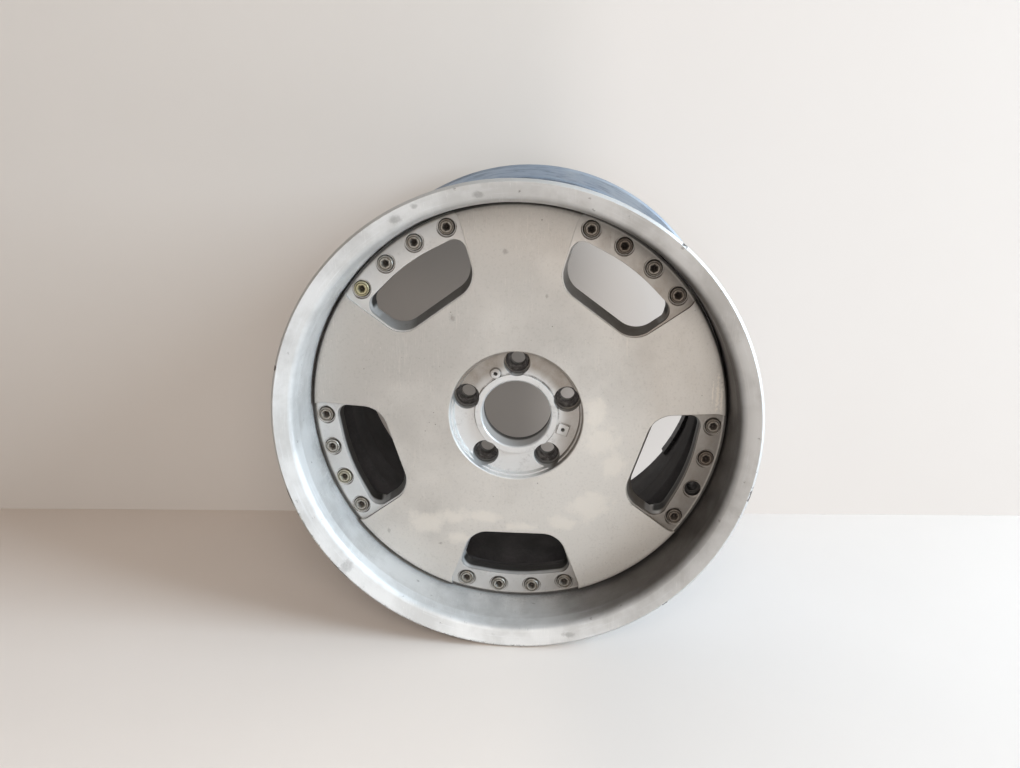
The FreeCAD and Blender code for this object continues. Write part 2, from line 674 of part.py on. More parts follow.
def make_weights():
    """Row of stick-on balance weights near the inner edge of the barrel, on their tape."""
    start, step = S["weight_start"].number, S["weight_angle"].number + S["weight_gap"].number
    count = int(S["weight_count"].number)
    top = SOCKET - S["slip"]
    low = top - S["tape_thick"]
    first = S["width"] - S["weight_inset"]
    last = first + S["weight_wide"]
    weight = new_body("weight_master")
    sketch = section_sketch(weight, "weight_section", -HALF)
    inner = low - S["weight_thick"]
    bevel, inset = S["weight_bevel"], S["tape_inset"]
    closed_profile(sketch, [(low, first), (low, last), (inner + bevel, last), (inner, last - bevel),
                            (inner, first + bevel), (inner + bevel, first)])
    turned(weight, sketch, "weight_turning", S["weight_angle"])
    places = [spin(start + step * (k + 1)) for k in range(count)]
    weights = group("balance_weights", weight, places)

    tape = new_body("weight_tape")
    strip = section_sketch(tape, "tape_section", -HALF)
    closed_profile(strip, [(low, first + inset), (low, last - inset), (top, last - inset),
                           (top, first + inset)])
    turned(tape, strip, "tape_turning", S["weight_angle"] * S["weight_count"])
    tape.Placement = spin(start + step * count)
    return [weights, tape]


def check_and_write(pieces):
    """Stops on any failed object, then writes each piece to its own file."""
    doc.recompute()
    for thing in doc.Objects:
        if "Invalid" in thing.State or "Error" in thing.State:
            raise RuntimeError(f"{thing.Name} failed: {thing.State}")
    for piece in pieces:
        if piece.Shape.isNull() or not piece.Shape.isValid():
            raise RuntimeError(f"{piece.Label} has no valid shape")
    os.makedirs("parts", exist_ok=True)
    for piece in pieces:
        piece.Shape.exportStep(f"parts/{piece.Label}.step")
        print(f"{piece.Label}: {len(piece.Shape.Solids)} solids, {piece.Shape.Volume / 1000:.1f} cm3")


check_and_write([make_rim(), make_disc()] + make_fasteners() + make_valve() + make_weights())
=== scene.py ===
"""Looks of a used two-piece alloy wheel, in the frame of its solids.

The wheel stands upright with its axle along Y and its outer face towards -Y. Shader maths works in
millimetres: radius from the axle, and depth inwards from the outer flange face.
"""

import logging
import math
from dataclasses import dataclass, field
from enum import Enum
from typing import Any, Dict, List, Optional, Sequence, Tuple, Union

import bmesh
import bpy
from mathutils import Matrix, Vector


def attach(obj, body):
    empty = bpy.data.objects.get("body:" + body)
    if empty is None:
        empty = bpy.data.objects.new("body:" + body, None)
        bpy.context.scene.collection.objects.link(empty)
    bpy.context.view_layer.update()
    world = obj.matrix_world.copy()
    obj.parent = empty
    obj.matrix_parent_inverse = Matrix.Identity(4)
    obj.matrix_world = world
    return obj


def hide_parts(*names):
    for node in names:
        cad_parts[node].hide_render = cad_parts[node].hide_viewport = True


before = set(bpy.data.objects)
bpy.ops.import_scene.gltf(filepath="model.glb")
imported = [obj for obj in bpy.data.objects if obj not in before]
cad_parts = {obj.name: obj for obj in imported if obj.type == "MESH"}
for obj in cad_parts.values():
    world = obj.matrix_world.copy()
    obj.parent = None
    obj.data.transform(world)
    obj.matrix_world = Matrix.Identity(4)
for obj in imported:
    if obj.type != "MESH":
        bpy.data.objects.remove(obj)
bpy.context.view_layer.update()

LOG = logging.getLogger("wheel")
Colour = Tuple[float, float, float]
Span = Tuple[float, float]   # where a soft step begins and ends
Spot = Tuple[float, float, float, float]   # x, z, half width and half height
HALF_WIDTH = 153.0   # millimetres from the middle of the wheel to the outer flange face
PER_METRE = 1000.0   # millimetres in a metre
AXLE = 0.01   # least radius that anything is divided by
SENSOR = 36.0   # width of the camera's sensor, in millimetres


class Value:
    """A shader socket that takes part in Python expressions."""

    def __init__(self, board: "Board", socket: bpy.types.NodeSocket) -> None:
        """Keeps the socket and the board it is on."""
        self.board = board
        self.socket = socket

    def _math(self, operation: str, first: Any, second: Any) -> "Value":
        """Adds one Math node."""
        return self.board.node("ShaderNodeMath", {"operation": operation}, {0: first, 1: second})

    def __add__(self, other: Any) -> "Value":
        """Sum."""
        return self._math("ADD", self, other)

    def __radd__(self, other: Any) -> "Value":
        """Sum with a number on the left."""
        return self._math("ADD", other, self)

    def __sub__(self, other: Any) -> "Value":
        """Difference."""
        return self._math("SUBTRACT", self, other)

    def __rsub__(self, other: Any) -> "Value":
        """Difference with a number on the left."""
        return self._math("SUBTRACT", other, self)

    def __mul__(self, other: Any) -> "Value":
        """Product."""
        return self._math("MULTIPLY", self, other)

    def __rmul__(self, other: Any) -> "Value":
        """Product with a number on the left."""
        return self._math("MULTIPLY", other, self)

    def __truediv__(self, other: Any) -> "Value":
        """Quotient."""
        return self._math("DIVIDE", self, other)

    def root(self) -> "Value":
        """Square root."""
        return self._math("SQRT", self, 0.0)

    def size(self) -> "Value":
        """Absolute value."""
        return self._math("ABSOLUTE", self, 0.0)

    def most(self, other: Any) -> "Value":
        """Larger of two values."""
        return self._math("MAXIMUM", self, other)

    def least(self, other: Any) -> "Value":
        """Smaller of two values."""
        return self._math("MINIMUM", self, other)

    def rise(self, low: float, high: float) -> "Value":
        """Smooth step from 0 at low to 1 at high."""
        return self.board.node(
            "ShaderNodeMapRange", {"interpolation_type": "SMOOTHSTEP", "clamp": True},
            {"Value": self, "From Min": low, "From Max": high})

    def fall(self, low: float, high: float) -> "Value":
        """Smooth step from 1 at low to 0 at high."""
        return 1.0 - self.rise(low, high)

    def between(self, low: float, high: float, soft: float) -> "Value":
        """Soft band that is 1 between low and high."""
        return self.rise(low - soft, low + soft) * self.fall(high - soft, high + soft)


Input = Union[Value, float, Sequence[float]]


class Board:
    """Node tree of one material, with the surface's place on the wheel in millimetres."""

    def __init__(self, name: str) -> None:
        """Makes an empty material with its wheel coordinates.

        Args:
            name: Name of the material.
        """
        self.material = bpy.data.materials.new(name)
        self.material.use_nodes = True
        self.tree = self.material.node_tree
        self.tree.nodes.clear()
        place = self.node("ShaderNodeTexCoord", {}, {}, "Object")
        self.place = self.node("ShaderNodeVectorMath", {"operation": "SCALE"},
                               {0: place, "Scale": PER_METRE})
        split = self.node("ShaderNodeSeparateXYZ", {}, {0: self.place})
        outputs = split.socket.node.outputs
        self.x, along, self.z = (Value(self, outputs[axis]) for axis in "XYZ")
        self.depth = along + HALF_WIDTH
        self.radius = (self.x * self.x + self.z * self.z).root()
        normal = self.node("ShaderNodeNewGeometry", {}, {}, "Normal")
        parts = self.node("ShaderNodeSeparateXYZ", {}, {0: normal}).socket.node.outputs
        self.facing_right, self.facing_in, up = (Value(self, parts[axis]) for axis in "XYZ")
        self.facing_out = (self.facing_right * self.x + up * self.z) / self.radius.most(AXLE)

    def node(self, kind: str, settings: Dict[str, Any], sockets: Dict[Any, Any],
             output: Union[int, str] = 0) -> Value:
        """Adds a node.

        Args:
            kind: The node's type name.
            settings: Properties set first.
            sockets: Input name or number to a Value or a constant.
            output: Name or number of the output to hand back.

        Returns:
            The chosen output.
        """
        node = self.tree.nodes.new(kind)
        for key, setting in settings.items():
            setattr(node, key, setting)
        for key, value in sockets.items():
            if isinstance(value, Value):
                self.tree.links.new(value.socket, node.inputs[key])
            else:
                node.inputs[key].default_value = value
        return Value(self, node.outputs[output])

    def noise(self, scale: float, detail: float = 4.0, rough: float = 0.55,
              vector: Optional[Value] = None, bend: float = 0.0) -> Value:
        """Noise from 0 to 1, with its scale in waves per millimetre."""
        return self.node("ShaderNodeTexNoise", {}, {
            "Vector": vector or self.place, "Scale": scale, "Detail": detail, "Roughness": rough,
            "Distortion": bend})

    def cells(self, scale: float, vector: Optional[Value] = None) -> Value:
        """Distance to the nearest of scattered points, in cells."""
        return self.node("ShaderNodeTexVoronoi", {}, {
            "Vector": vector or self.place, "Scale": scale})

    def stretched(self, along: Sequence[float], turn: float) -> Value:
        """Wheel coordinates scaled along the axes after a turn about the axle."""
        return self.node("ShaderNodeMapping", {"vector_type": "POINT"}, {
            "Vector": self.place, "Rotation": (0.0, math.radians(turn), 0.0),
            "Scale": tuple(along)})

    def ringwise(self, round_scale: float, across_scale: float) -> Value:
        """Coordinates that run slowly round the wheel and fast across it, without a seam."""
        return self.node("ShaderNodeCombineXYZ", {}, {
            "X": self.x / self.radius.most(AXLE) * round_scale,
            "Y": self.z / self.radius.most(AXLE) * round_scale,
            "Z": (self.radius + self.depth) * across_scale})

    def hairlines(self, turn: float, length: float, fineness: float) -> Value:
        """Sparse thin scratches that lie across the given turn.

        Args:
            turn: Turn about the axle, in degrees.
            length: Waves per millimetre along a scratch.
            fineness: Waves per millimetre across it.

        Returns:
            1 in a scratch and 0 elsewhere.
        """
        lines = self.noise(1.0, 2.0, 0.5, self.stretched((fineness, length, length), turn), 0.4)
        where = self.noise(0.021, 2.0, 0.5, self.stretched((1.0, 1.0, 1.0), turn * 2.0 + 11.0))
        return (lines - 0.5).size().fall(0.0, 0.012) * where.rise(0.5, 0.62)

    def from_bolt(self, circle: float, step: float, windows: float) -> Value:
        """Distance in millimetres from the nearest rim-bolt axis, near the bolt flanges.

        Args:
            circle: Radius of the bolt circle.
            step: Angle in degrees between neighbouring bolts.
            windows: Number of bolt flanges round the wheel.

        Returns:
            The distance, which also repeats where the flanges have no bolts.
        """
        turn = self.node("ShaderNodeMath", {"operation": "ARCTAN2"}, {0: self.z, 1: self.x})
        pitch = 360.0 / windows
        degrees = turn * (180.0 / math.pi) - 270.0 + pitch / 2.0
        folded = self.node("ShaderNodeMath", {"operation": "FLOORED_MODULO"},
                           {0: degrees, 1: pitch})
        along = (folded - pitch / 2.0) / step
        part = self.node("ShaderNodeMath", {"operation": "FRACT"}, {0: along}) - 0.5
        across = part * math.radians(step) * circle
        outwards = self.radius - circle
        return (across * across + outwards * outwards).root()

    def mix(self, factor: Input, first: Any, second: Any) -> Value:
        """Mixes two colours."""
        both = [value if isinstance(value, Value) else (*value, 1.0) for value in (first, second)]
        return self.node("ShaderNodeMix", {"data_type": "RGBA"},
                         {0: factor, 6: both[0], 7: both[1]}, 2)

    def patch(self, x: float, z: float, wide: float, high: float, warp: Value) -> Value:
        """Ragged spot on the outer face, 1 in the middle, placed in millimetres."""
        across, up = (self.x - x) / wide, (self.z - z) / high
        return ((across * across + up * up).root() + (warp - 0.5) * 2.4).fall(0.35, 1.0)

    def patches(self, spots: Sequence[Spot], warp: Value) -> Value:
        """Several ragged spots together.

        Args:
            spots: Place and size of each spot.
            warp: Noise that makes the outlines ragged.

        Returns:
            1 inside the spots and 0 elsewhere.
        """
        whole = self.patch(*spots[0], warp)
        for spot in spots[1:]:
            whole = whole.most(self.patch(*spot, warp))
        return whole

    def towards(self, angle: float, reach: float) -> Value:
        """Soft sector round an angle.

        Args:
            angle: Middle of the sector, in degrees from +X towards +Z.
            reach: Its half width in degrees.

        Returns:
            1 in the middle of the sector and 0 outside it.
        """
        turn = math.radians(angle)
        along = (self.x * math.cos(turn) + self.z * math.sin(turn)) / self.radius.most(AXLE)
        return along.rise(math.cos(math.radians(reach * 1.5)),
                          math.cos(math.radians(reach * 0.5)))

    def sectors(self, angles: Sequence[Tuple[float, float]]) -> Value:
        """Several soft sectors together.

        Args:
            angles: Middle and half width of each sector.

        Returns:
            1 inside the sectors and 0 elsewhere.
        """
        whole = self.towards(*angles[0])
        for pair in angles[1:]:
            whole = whole.most(self.towards(*pair))
        return whole

    def surface(self, colour: Input, metallic: Input, roughness: Input, height: Value, lift: float,
                edge: float, rolled: Optional[Value] = None, roll: float = 0.006
                ) -> bpy.types.Material:
        """Closes the tree with a surface shader.

        Args:
            colour: Base colour.
            metallic: Metallic value.
            roughness: Roughness value.
            height: Height of the relief, from 0 to 1.
            lift: Height in metres that 1 stands for.
            edge: Radius in metres over which sharp edges are softened.
            rolled: Where edges are rolled instead.
            roll: Radius in metres of those rolled edges.

        Returns:
            The finished material.
        """
        soft = self.node("ShaderNodeBevel", {"samples": 6}, {"Radius": edge})
        if rolled is not None:
            wide = self.node("ShaderNodeBevel", {"samples": 8}, {"Radius": roll})
            soft = self.node("ShaderNodeMix", {"data_type": "VECTOR"},
                             {0: rolled, 4: soft, 5: wide}, 1)
        normal = self.node("ShaderNodeBump", {}, {
            "Height": height, "Strength": 1.0, "Distance": lift, "Normal": soft})
        self.node_end(self.node("ShaderNodeBsdfPrincipled", {}, {
            "Base Color": colour, "Metallic": metallic, "Roughness": roughness, "Normal": normal}))
        return self.material

    def node_end(self, shader: Value) -> None:
        """Links a shader to the material's output."""
        end = self.tree.nodes.new("ShaderNodeOutputMaterial")
        self.tree.links.new(shader.socket, end.inputs["Surface"])


@dataclass(frozen=True)
class Grain:
    """Noise that the layers of one finish share."""

    clouds: Value
    fine: Value
    warp: Value


@dataclass(frozen=True)
class TurnedRimFinish:
    """Bare, clouded aluminium on the lip with painted shade on its left-facing inner wall, grime in
    the barrel, stained silver on the tyre side.
    """

    name: str = "turned_rim"
    lip: Colour = (0.66, 0.655, 0.645)
    lip_dull: Colour = (0.52, 0.51, 0.495)
    chalk: Colour = (0.78, 0.79, 0.81)
    # colour of smudges and seat dirt, also painted shade on the lip's left-facing inner wall
    shade: Colour = (0.05, 0.04, 0.033)
    soot: Colour = (0.030, 0.029, 0.031)
    dust: Colour = (0.095, 0.09, 0.092)
    tyre_side: Colour = (0.27, 0.31, 0.365)
    stain: Colour = (0.03, 0.04, 0.06)
    rash_dark: Colour = (0.12, 0.105, 0.095)
    rash_bright: Colour = (0.80, 0.79, 0.77)
    barrel_depth: Span = (94.0, 99.0)
    barrel_r: Span = (218.0, 221.5)
    side_depth: Span = (13.0, 16.0)
    side_r: Span = (223.5, 226.5)
    tyre_depth: Span = (11.0, 14.0)
    edge_r: Span = (241.5, 244.5)
    edge_depth: Span = (4.0, 11.0)
    bite_r: Span = (246.5, 248.5)
    smudge_depth: Span = (20.0, 40.0)
    shade_depth: Span = (1.0, 16.0)
    dirt_depth: Span = (45.0, 60.0)
    rear_depth: Span = (296.0, 301.0)
    bead_seats: Tuple[Span, Span] = ((16.0, 34.0), (272.0, 290.0))
    bead_soft: float = 3.0
    scuffed: Tuple[Tuple[float, float], ...] = (   # angle and half width in degrees
        (212.0, 16.0), (236.0, 12.0), (262.0, 18.0), (346.0, 6.0))
    chipped: Tuple[Tuple[float, float], ...] = (
        (346.1, 1.6), (219.6, 1.1), (222.8, 1.4), (198.9, 1.8), (254.2, 2.0), (258.5, 1.5),
        (248.0, 0.7), (311.0, 0.8), (50.0, 0.6), (166.0, 0.7))
    smudges: Tuple[Spot, ...] = (
        (-112.8, 207.1, 9.0, 5.0), (-93.6, 219.3, 5.0, 3.5), (-34.0, 231.0, 7.0, 4.0),
        (-176.0, -158.0, 8.0, 9.0), (62.0, -229.0, 10.0, 4.0))

    def kerb_rash(self, b: Board, chips: Value) -> Tuple[Value, Value]:
        """Scuffs and bites on the flange edge.

        Args:
            b: The rim's board.
            chips: Noise that breaks up the damage.

        Returns:
            All the damage, and the bites alone.
        """
        edge = b.radius.rise(*self.edge_r) * b.depth.fall(*self.edge_depth)
        scuffs = edge * (b.sectors(self.scuffed) * 0.26 + chips).rise(0.72, 0.84)
        bites = b.sectors(self.chipped) * (b.radius + chips * 7.0).rise(*self.bite_r) * edge
        return scuffs.most(bites), bites

    def lip_metal(self, b: Board, grain: Grain, rings: Value, spots: Value) -> Value:
        """Clouded, pitted and scratched metal of the lip, with painted shade on its inner wall
        where it faces left.

        Args:
            b: The rim's board.
            grain: The rim's noise.
            rings: Noise that runs round the wheel.
            spots: Small pits.

        Returns:
            The lip's colour without kerb rash.
        """
        clouds, fine = grain.clouds, grain.fine
        metal = b.mix(clouds.rise(0.38, 0.66), self.lip, self.lip_dull)
        metal = b.mix(rings.rise(0.54, 0.75) * 0.35, metal, self.chalk)
        metal = b.mix(spots * fine.rise(0.48, 0.6) * 0.6, metal, self.rash_dark)
        smudges = b.patches(self.smudges, (grain.warp + fine) * 0.5)
        smudges = smudges * b.depth.fall(*self.smudge_depth)
        metal = b.mix(smudges * (0.1 + fine * 0.5), metal, self.shade)
        scratches = b.hairlines(20.0, 0.012, 0.55).most(b.hairlines(75.0, 0.010, 0.6))
        metal = b.mix(scratches * 0.4, metal, self.rash_bright)
        wall = b.facing_out.fall(-0.40, 0.05) * b.depth.rise(*self.shade_depth)
        left_facing = (0.0 - b.facing_right).rise(0.0, 0.6)
        # painted shade: the lip's inner wall that faces left is darkened in its colour
        metal = b.mix(wall * left_facing * (0.78 + clouds * 0.2), metal, self.shade)
        metal = b.mix(b.facing_out.rise(0.3, 0.8) * 0.6, metal, self.lip_dull)
        dirt = wall * b.depth.rise(*self.dirt_depth) * (clouds + fine).rise(0.85, 1.25)
        return b.mix(dirt * 0.2, metal, self.shade)

    def barrel_grime(self, b: Board, grain: Grain) -> Value:
        """Dull brake dust in the barrel, with barer metal on the rear flange's face."""
        mottle = (b.noise(0.02, 6.0, 0.6) * 0.7 + grain.fine * 0.3).rise(0.3, 0.8)
        rear_face = b.facing_in.rise(0.4, 0.8) * b.depth.rise(*self.rear_depth)
        return b.mix(rear_face * 0.75, b.mix(mottle, self.soot, self.dust), self.lip_dull)

    def tyre_stains(self, b: Board, grain: Grain) -> Value:
        """Streaked silver under the tyre, black at the bead seats.

        Args:
            b: The rim's board.
            grain: The rim's noise.

        Returns:
            The tyre side's colour.
        """
        streaks = b.noise(1.0, 5.0, 0.6, b.ringwise(9.0, 0.5), 0.3)
        side = b.mix(grain.clouds.rise(0.35, 0.7) * 0.3, self.tyre_side, self.lip_dull)
        side = b.mix(streaks.rise(0.45, 0.80) * 0.55, side, self.stain)
        outer, inner = (b.depth.between(*seat, self.bead_soft) for seat in self.bead_seats)
        black = (outer + inner).least(1.0) * (streaks + grain.fine * 0.5).rise(0.5, 0.9)
        return b.mix(black * 0.8, side, self.soot)

    def make(self) -> bpy.types.Material:
        """Lays the rim's finishes over each other.

        Returns:
            The rim's material.
        """
        b = Board(self.name)
        grain = Grain(b.noise(0.018, 5.0, 0.6), b.noise(0.35, 4.0, 0.65), b.noise(0.07, 5.0, 0.65))
        clouds, fine = grain.clouds, grain.fine
        rings = b.noise(1.0, 4.0, 0.6, b.ringwise(4.0, 0.9))
        chips = b.noise(0.16, 6.0, 0.7, None, 1.2)
        spots = b.cells(0.055, b.stretched((1.0, 1.0, 1.0), 33.0)).fall(0.05, 0.14)
        inwards = b.facing_out.fall(-0.45, -0.15)
        barrel = (inwards * b.depth.rise(*self.barrel_depth)).most(b.radius.fall(*self.barrel_r))
        sides = b.depth.rise(*self.side_depth) * b.radius.rise(*self.side_r) * (1.0 - inwards)
        tyre = b.facing_out.rise(0.12, 0.3).most(sides) * b.depth.rise(*self.tyre_depth)
        rash, bites = self.kerb_rash(b, chips)

        scarred = b.mix((fine + bites * 0.2).rise(0.50, 0.60), self.rash_bright, self.rash_dark)
        metal = b.mix(rash, self.lip_metal(b, grain, rings, spots), scarred)
        colour = b.mix(barrel, metal, self.barrel_grime(b, grain))
        colour = b.mix(tyre, colour, self.tyre_stains(b, grain))
        metallic = (0.5 - barrel * 0.4 - rash * 0.15) * (1.0 - tyre * 0.2)
        rough = 0.42 + clouds * 0.14 + fine * 0.10 + barrel * 0.22 + tyre * 0.04 + rash * 0.2
        height = fine * 0.10 + rings * 0.08 - rash * (0.2 + chips * 0.5) - spots * 0.10
        return b.surface(colour, metallic, rough, height, 0.0007, 0.0009)


@dataclass(frozen=True)
class CentreZones:
    """Areas of the centre, from 0 to 1, and the depth below its domed face in millimetres."""

    front: Value
    left_facing: Value
    back: Value
    well: Value
    below: Value
    sunk: Value


@dataclass(frozen=True)
class CastCentreFinish:
    """Warm silver lacquer that has gone cream in patches, over a grey hub well and walls darkened
    by dirt and painted shade.
    """

    name: str = "cast_centre"
    lacquer: Colour = (0.615, 0.585, 0.545)
    lacquer_deep: Colour = (0.455, 0.43, 0.40)
    # colour of yellowed lacquer, also used for the painted highlight streaks
    cream: Colour = (0.74, 0.69, 0.62)
    # bare metal colour, also used for the painted highlight on rolled flange edges
    bare: Colour = (0.68, 0.68, 0.675)
    flange: Colour = (0.64, 0.635, 0.625)
    # colour of painted shade on the right-hand bolt flanges, and of the stain with painted shade on
    # the well floor
    shade: Colour = (0.27, 0.235, 0.20)
    # dirt colour, also used for painted shade on the left-facing walls and the spot-face steps
    dirt: Colour = (0.11, 0.092, 0.078)
    # soot colour, also used for painted shade at the face's edge, round the bolt heads and in the
    # window backs
    soot: Colour = (0.02, 0.019, 0.018)
    painted_shade_slope: float = 0.0015   # how fast the lacquer is darkened towards the upper left as painted shade, a millimetre
    dome_drop: float = 3966.0   # twice the radius of the domed face
    dome_from: float = 48.5
    well_r: float = 71.2
    face_r: Span = (215.5, 217.5)
    edge_dirt_r: Span = (211.0, 220.0)
    seam_shade_r: Span = (217.0, 218.6)
    rolled_r: Span = (176.0, 195.0)
    under_r: Span = (160.0, 199.0)
    under_depth: Span = (67.5, 72.0)
    bolts: Tuple[float, float, float] = (207.5, 10.3, 5.0)   # circle, step, bolt flanges
    head_shade_ring: Span = (7.2, 8.8)   # from a bolt's axis, as the next two are
    head_hole: Span = (8.9, 9.4)
    spot_face: Span = (10.0, 11.0)
    head_depth: Span = (66.6, 68.0)
    spot_r: Span = (205.0, 212.0)
    bore_r: Span = (37.0, 39.0)
    bore_depth: Span = (74.0, 80.0)
    hole_depth: Span = (65.0, 69.5)
    step_r: Span = (64.5, 66.0)
    stain_r: Span = (43.0, 56.0)
    collar_r: Span = (43.6, 45.2)
    collar_depth: Span = (57.0, 59.5)
    boss_depth: Span = (57.6, 58.6)
    round_boss: Tuple[float, float, float] = (49.0, 117.0, 5.2)   # radius, angle, half width
    square_boss: Tuple[float, float, float] = (52.0, 342.0, 5.6)
    cream_spots: Tuple[Spot, ...] = (
        (-97.0, -127.0, 26.0, 15.0), (-66.0, -119.0, 32.0, 13.0), (-36.0, -118.0, 24.0, 10.0),
        (-62.0, -145.0, 18.0, 9.0), (52.0, -122.0, 22.0, 11.0), (84.0, -100.0, 30.0, 24.0),
        (90.0, -24.0, 20.0, 30.0), (84.0, 6.0, 14.0, 20.0), (102.0, -52.0, 20.0, 18.0),
        (8.0, -128.0, 28.0, 7.0))
    marks: Tuple[Spot, ...] = (
        (-141.2, -141.5, 2.5, 4.0), (-66.4, 103.9, 3.5, 5.0), (-12.4, 172.1, 3.5, 3.5),
        (-83.2, -153.7, 2.5, 2.0), (125.7, -96.6, 2.5, 2.5), (30.0, 128.0, 2.0, 3.0))
    # painted highlights: streaks where the face's outer edge rolls over on the right
    streaks: Tuple[Spot, ...] = (
        (208.0, 27.0, 2.2, 24.0), (212.5, 25.0, 1.8, 22.0), (203.0, 30.0, 1.0, 14.0))

    def zones(self, b: Board) -> CentreZones:
        """Tells the areas of the centre apart by place and facing.

        Args:
            b: The centre's board.

        Returns:
            The areas.
        """
        dome = (b.radius * b.radius - self.well_r ** 2) / self.dome_drop
        sunk = b.depth - self.dome_from - dome
        well = b.radius.fall(self.well_r - 1.2, self.well_r + 0.2)
        return CentreZones(
            front=(0.0 - b.facing_in).rise(0.35, 0.8),
            left_facing=(0.0 - b.facing_right).rise(0.2, 0.7),
            back=b.facing_in.rise(0.3, 0.7),
            well=well,
            below=sunk.rise(1.0, 2.4) * (1.0 - well) * b.radius.fall(*self.face_r),
            sunk=sunk)

    def face(self, b: Board, grain: Grain, zones: CentreZones) -> Tuple[Value, Value, Value, Value]:
        """Lacquer of the domed face, with painted shade towards the upper left and at its outer
        edge, and painted highlight streaks on the right.

        Args:
            b: The centre's board.
            grain: The centre's noise.
            zones: The centre's areas.

        Returns:
            Its colour, and where it is cream, specked and scratched.
        """
        clouds, fine, warp = grain.clouds, grain.fine, grain.warp
        # painted shade: the lacquer darkens towards the upper left, away from the light at the
        # right, over its real clouding
        clouding_and_painted_shade = (clouds + (b.z - b.x) * self.painted_shade_slope).rise(0.30, 0.80)
        colour = b.mix(clouding_and_painted_shade, self.lacquer, self.lacquer_deep)
        colour = b.mix(fine.rise(0.5, 0.75) * 0.14, colour, self.dirt)
        cream = b.patches(self.cream_spots, warp) * (1.0 - zones.below) * (1.0 - zones.well)
        cream = cream * (0.15 + 0.5 * fine + 0.25 * clouds)
        colour = b.mix(cream, colour, self.cream)
        specks = b.cells(0.09).fall(0.03, 0.085) * b.noise(0.03, 2.0).rise(0.5, 0.62)
        specks = specks.most(b.patches(self.marks, fine) * (0.2 + 0.7 * fine))
        colour = b.mix(specks * 0.7, colour, self.dirt)
        scratches = b.hairlines(35.0, 0.014, 0.5).most(b.hairlines(-20.0, 0.02, 0.42))
        colour = b.mix(scratches * 0.35, colour, self.cream)
        # painted highlight streaks near the face's right edge
        colour = b.mix(b.patches(self.streaks, fine), colour, self.cream)
        edge_dirt = b.radius.rise(*self.edge_dirt_r) * (warp + fine * 0.4).rise(0.6, 0.95)
        colour = b.mix(edge_dirt * 0.25, colour, self.dirt)
        # painted shade: the face's rounded outer edge is near black where it meets the lip
        colour = b.mix(b.radius.rise(*self.seam_shade_r) * 0.85, colour, self.soot)
        return colour, cream, specks, scratches

    def windows(self, b: Board, grain: Grain, zones: CentreZones, colour: Value, rolled: Value
                ) -> Value:
        """Lays the bolt flanges and window walls over the face, with painted shade on the
        right-hand flanges, the left-facing walls, round the bolt heads and in the window backs, and
        a painted highlight on the rolled edges.

        Args:
            b: The centre's board.
            grain: The centre's noise.
            zones: The centre's areas.
            colour: Colour of the face.
            rolled: Where the flanges' edges are rolled.

        Returns:
            The colour with the windows.
        """
        fine, warp, below = grain.fine, grain.warp, zones.below
        pan = b.mix(grain.clouds.rise(0.4, 0.62) * 0.4, self.flange, self.lacquer_deep)
        pan = b.mix((warp * 0.7 + fine * 0.4).rise(0.56, 0.88) * 0.45, pan, self.dirt)
        # painted shade: the bolt flanges darken towards the right, where the lip shadows them
        pan = b.mix(b.x.rise(-10.0, 120.0) * (0.45 + warp * 0.6).least(1.0), pan, self.shade)
        colour = b.mix(below, colour, pan)
        walls = (1.0 - zones.front) * (1.0 - zones.well) * (1.0 - zones.back)
        walls = walls * (1.0 - rolled * 0.8)
        # dirt on the window walls, with painted shade added on the walls that face left
        colour = b.mix(walls * (0.05 + 0.3 * warp + zones.left_facing * 0.55), colour, self.dirt)
        # painted highlight: rolled flange edges that don't face left are lightened to bare metal
        painted_highlight_roll = rolled * (1.0 - zones.front) * (1.0 - zones.left_facing)
        colour = b.mix(painted_highlight_roll * 0.8, colour, self.bare)
        gap = b.from_bolt(*self.bolts)
        # painted shade in the gap round each bolt head, and the empty bolt hole painted dark with
        # dirt and shade
        ring = (gap + fine * 0.5).between(*self.head_shade_ring, 0.25)
        ring = ring.most(gap.fall(*self.head_hole) * b.depth.rise(*self.head_depth))
        colour = b.mix(ring * below * 0.92, colour, self.soot)
        # painted shade along the spot-face step on the hub side of each bolt
        step = (gap + fine * 0.4).between(*self.spot_face, 0.25) * below
        colour = b.mix(step * b.radius.fall(*self.spot_r) * 0.85, colour, self.dirt)
        # painted shade: the inward-facing back of each window is near black
        under = b.facing_out.fall(-0.55, -0.25) * b.radius.between(*self.under_r, 2.0)
        return b.mix(under * b.depth.rise(*self.under_depth) * 0.97, colour, self.soot)

    def boss_edge(self, b: Board) -> Value:
        """Dark line on the well floor round the two cap-screw bosses.

        Args:
            b: The centre's board.

        Returns:
            1 on the line and 0 elsewhere.
        """
        lines: List[Value] = []
        for square, (reach, angle, half) in enumerate((self.round_boss, self.square_boss)):
            turn = math.radians(angle)
            out = b.x * math.cos(turn) + b.z * math.sin(turn) - reach
            side = b.z * math.cos(turn) - b.x * math.sin(turn)
            far = out.size().most(side.size()) if square else (out * out + side * side).root()
            lines.append(far.between(half - 0.4, half + 1.3, 0.5))
        return lines[0].most(lines[1]) * b.depth.rise(*self.boss_depth)

    def hub_well(self, b: Board, grain: Grain, zones: CentreZones) -> Value:
        """Worn metal of the hub well, its bore and its holes, with painted shade on its left-facing
        step wall and towards its upper right.

        Args:
            b: The centre's board.
            grain: The centre's noise.
            zones: The centre's areas.

        Returns:
            The well's colour.
        """
        fine, warp = grain.fine, grain.warp
        worn = b.mix((warp * 0.8 + fine * 0.3).rise(0.56, 0.9) * 0.6, self.bare, self.dirt)
        bore = b.radius.fall(*self.bore_r)
        holes = b.depth.rise(*self.hole_depth) * (1.0 - bore)
        worn = b.mix(holes * 0.8, worn, self.soot)
        worn = b.mix(bore * b.depth.rise(*self.bore_depth) * 0.85, worn, self.soot)
